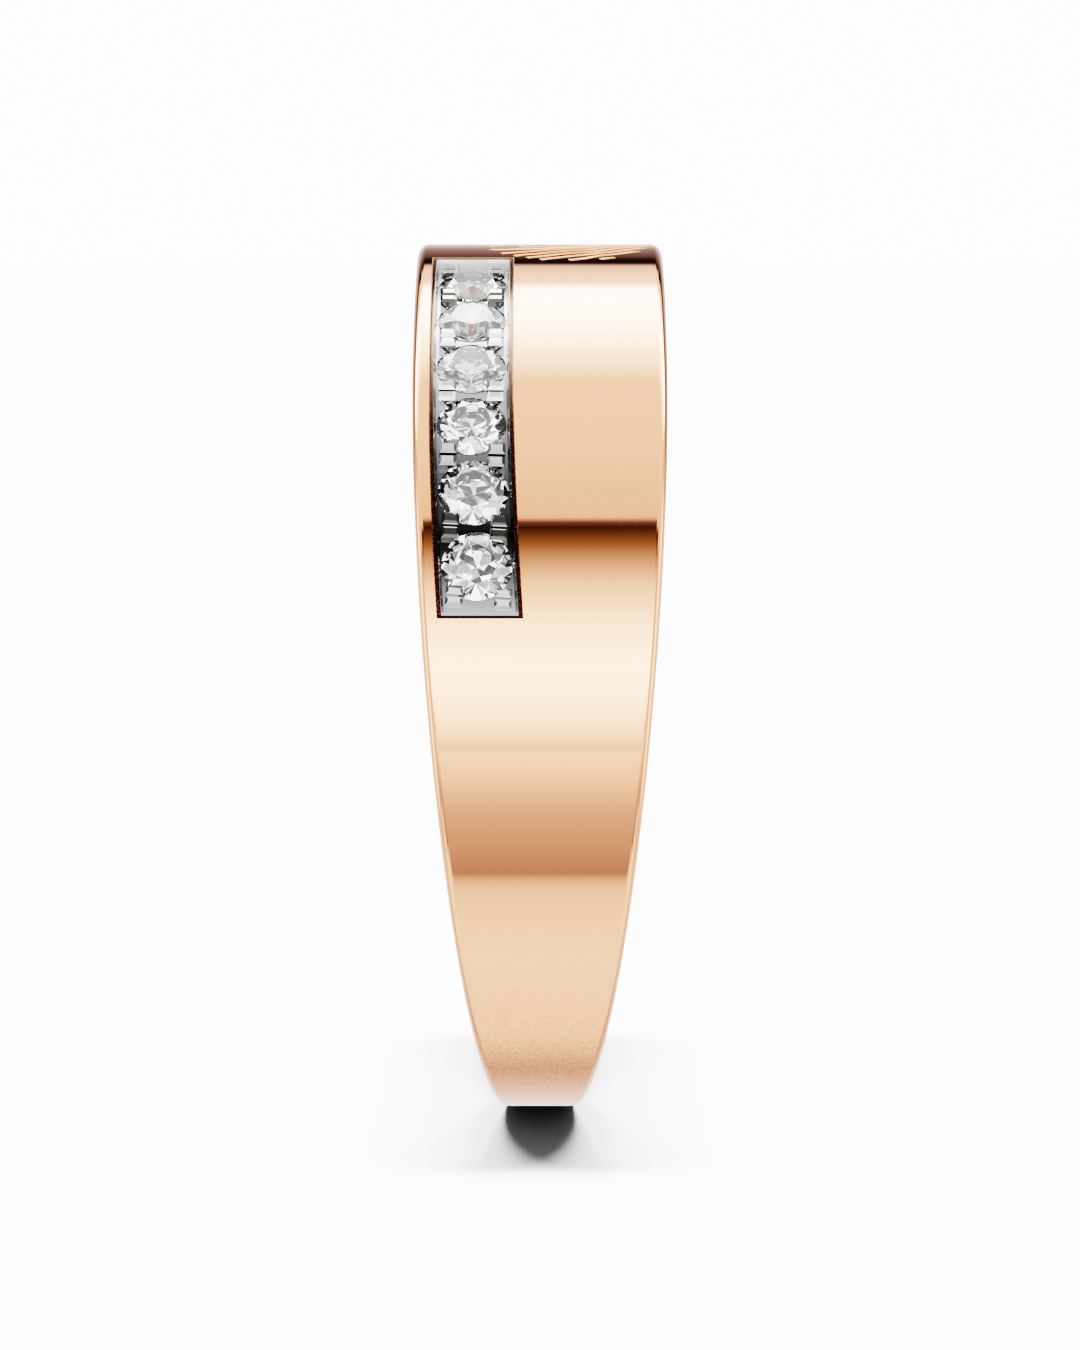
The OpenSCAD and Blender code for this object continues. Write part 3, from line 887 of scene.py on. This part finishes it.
def studio():
    """Light of the studio by direction, as one round of brightness about the bore's axis."""
    world = bpy.data.worlds.new("studio")
    bpy.context.scene.world = world
    world.use_nodes = True
    tree = world.node_tree
    tree.nodes.clear()
    look = add(tree, "ShaderNodeTexCoord").outputs["Generated"]
    split = add(tree, "ShaderNodeSeparateXYZ", [look])
    forward = add(tree, "ShaderNodeMath", [split.outputs["Y"], -1], operation="MULTIPLY")
    angle = add(tree, "ShaderNodeMath", [split.outputs["Z"], forward], operation="ARCTAN2")
    share = add(tree, "ShaderNodeMapRange", {
        "Value": angle, "From Min": -math.pi, "From Max": math.pi})
    ramp = add(tree, "ShaderNodeValToRGB", [share])
    # what stands where, as (degrees up from the front horizon, brightness): 90 is overhead,
    # 180 the back horizon and -90 straight down
    under_table = [(-145, 1.0), (-122, 0.62), (-104, 1.35), (-75, 1.5), (-54, 1.2), (-49.7, 0.85)]
    table_front = [(-48.3, 0.4), (-30, 0.75), (-15.3, 1.62)]
    front_window = [(-14.6, 1.15), (0, 3.4), (8, 3.8), (22, 2.0), (35, 0.58)]
    warm_flag = [(39.5, 0.24), (43.5, 0.05), (44.8, 0.04)]
    ceiling = [(46.5, 1.0), (70, 1.3), (88, 1.35), (96, 2.4)]
    top_softbox = [(104, 3.7), (111, 6.3), (123, 7.5), (128.5, 5.5)]
    back_wall = [(131.5, 1.6), (143, 1.0)]
    back_flag = [(146, 0.02), (150, 0.02), (151.5, 0.09), (163, 0.28), (170, 0.6)]
    white, warm = (1, 1, 1), (1, 0.85, 0.45)
    round_trip = (under_table, table_front, front_window, warm_flag, ceiling, top_softbox,
                  back_wall, back_flag)
    stops = [(degrees, level, warm if feature is warm_flag else white)
             for feature in round_trip for degrees, level in feature]
    brightest = 8
    strip = ramp.color_ramp
    while len(strip.elements) < len(stops):
        strip.elements.new(0.5)
    for element, (degrees, level, tint) in zip(strip.elements, stops):
        element.position = (degrees + 180) / 360
        element.color = [level / brightest * c for c in tint] + [1]
    # off to each side stand a dark upright card and, past it, a white sheet
    aside = add(tree, "ShaderNodeMath", [split.outputs["X"]], operation="ABSOLUTE")
    card = add(tree, "ShaderNodeMapRange", {
        "Value": aside, "From Min": 0.78, "From Max": 0.84}, interpolation_type="SMOOTHSTEP")
    sheet = add(tree, "ShaderNodeMapRange", {
        "Value": aside, "From Min": 0.89, "From Max": 0.93}, interpolation_type="SMOOTHSTEP")
    carded = add(tree, "ShaderNodeMix", {0: card, 6: ramp, 7: linear("#5C5C5C")},
                 data_type="RGBA")
    room = add(tree, "ShaderNodeMix", {0: sheet, 6: carded, 7: linear("#868686")},
               data_type="RGBA")
    # stones pick up a room broken into bright and dark patches
    patches = add(tree, "ShaderNodeTexNoise", {"Vector": look, "Scale": 16, "Detail": 3})
    broken = add(tree, "ShaderNodeMapRange", {
        "Value": patches, "From Min": 0.45, "From Max": 0.55, "To Min": 0.03, "To Max": 0.95})
    rays = add(tree, "ShaderNodeLightPath").outputs
    in_stone = add(tree, "ShaderNodeMix", {0: rays["Is Transmission Ray"], 2: 1.0, 3: broken})
    room_level, table_level, backdrop_level = 9, 0.15, 6.5
    room_power = add(tree, "ShaderNodeMath", [in_stone, room_level], operation="MULTIPLY")
    # the table is lit by the lamps, with only a little of the room, and the backdrop is white
    plain_power = add(tree, "ShaderNodeMix", {
        0: rays["Is Camera Ray"], 2: table_level, 3: backdrop_level})
    plain = add(tree, "ShaderNodeMath", [rays["Is Camera Ray"], rays["Is Diffuse Ray"]],
                operation="MAXIMUM")
    colour = add(tree, "ShaderNodeMix", {0: plain, 6: room, 7: linear("#FFFFFF")},
                 data_type="RGBA")
    power = add(tree, "ShaderNodeMix", {0: plain, 2: room_power, 3: plain_power})
    light = add(tree, "ShaderNodeBackground", {"Color": colour, "Strength": power})
    add(tree, "ShaderNodeOutputWorld", {"Surface": light})


def floor():
    """White tabletop that the band stands on."""
    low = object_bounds()[0].z
    half = 3.0
    corners = [(-half, -half, low), (half, -half, low), (half, half, low), (-half, half, low)]
    mesh = bpy.data.meshes.new("white_table")
    mesh.from_pydata(corners, [], [(0, 1, 2, 3)])
    material = bpy.data.materials.new("white laminate")
    material.use_nodes = True
    tree = material.node_tree
    feed(tree, tree.nodes["Principled BSDF"], {
        "Base Color": linear("#F4F4F4"), "Roughness": 0.8, "Specular IOR Level": 0})
    mesh.materials.append(material)
    table = piece_of("white_table", mesh)
    table.visible_glossy = False
    table.visible_transmission = False


def lamp(name, aim, strength, spread):
    """Soft light from a direction that lights the table and casts the band's shadow."""
    data = bpy.data.lights.new(name, "SUN")
    data.energy = strength
    data.angle = math.radians(spread)
    holder = bpy.data.objects.new(name, data)
    holder.rotation_euler = Vector(aim).to_track_quat("Z", "Y").to_euler()
    holder.visible_glossy = False
    holder.visible_transmission = False
    bpy.context.collection.objects.link(holder)


studio()
floor()
lamp("overhead_softbox", (0, 0, 1), 13, 16)
lamp("left_softbox", (-0.3, 0, 1), 3.4, 16)
lamp("right_softbox", (0.3, 0, 1), 3.4, 16)
bpy.context.scene.cycles.caustics_reflective = False

camera_data = bpy.data.cameras.new("camera")
camera_data.sensor_width = 36
camera_data.lens = 137.4
camera_data.clip_start = 0.001
camera = bpy.data.objects.new("camera", camera_data)
bpy.context.collection.objects.link(camera)
back = 12 * OUTER_R
tilt = math.radians(5)
camera.location = (0, -back * math.cos(tilt), back * math.sin(tilt))
camera.rotation_euler = (math.radians(90) - tilt, 0, 0)
bpy.context.scene.camera = camera

settings = bpy.context.scene.view_settings
settings.view_transform = "Filmic"
settings.look = "Very High Contrast"
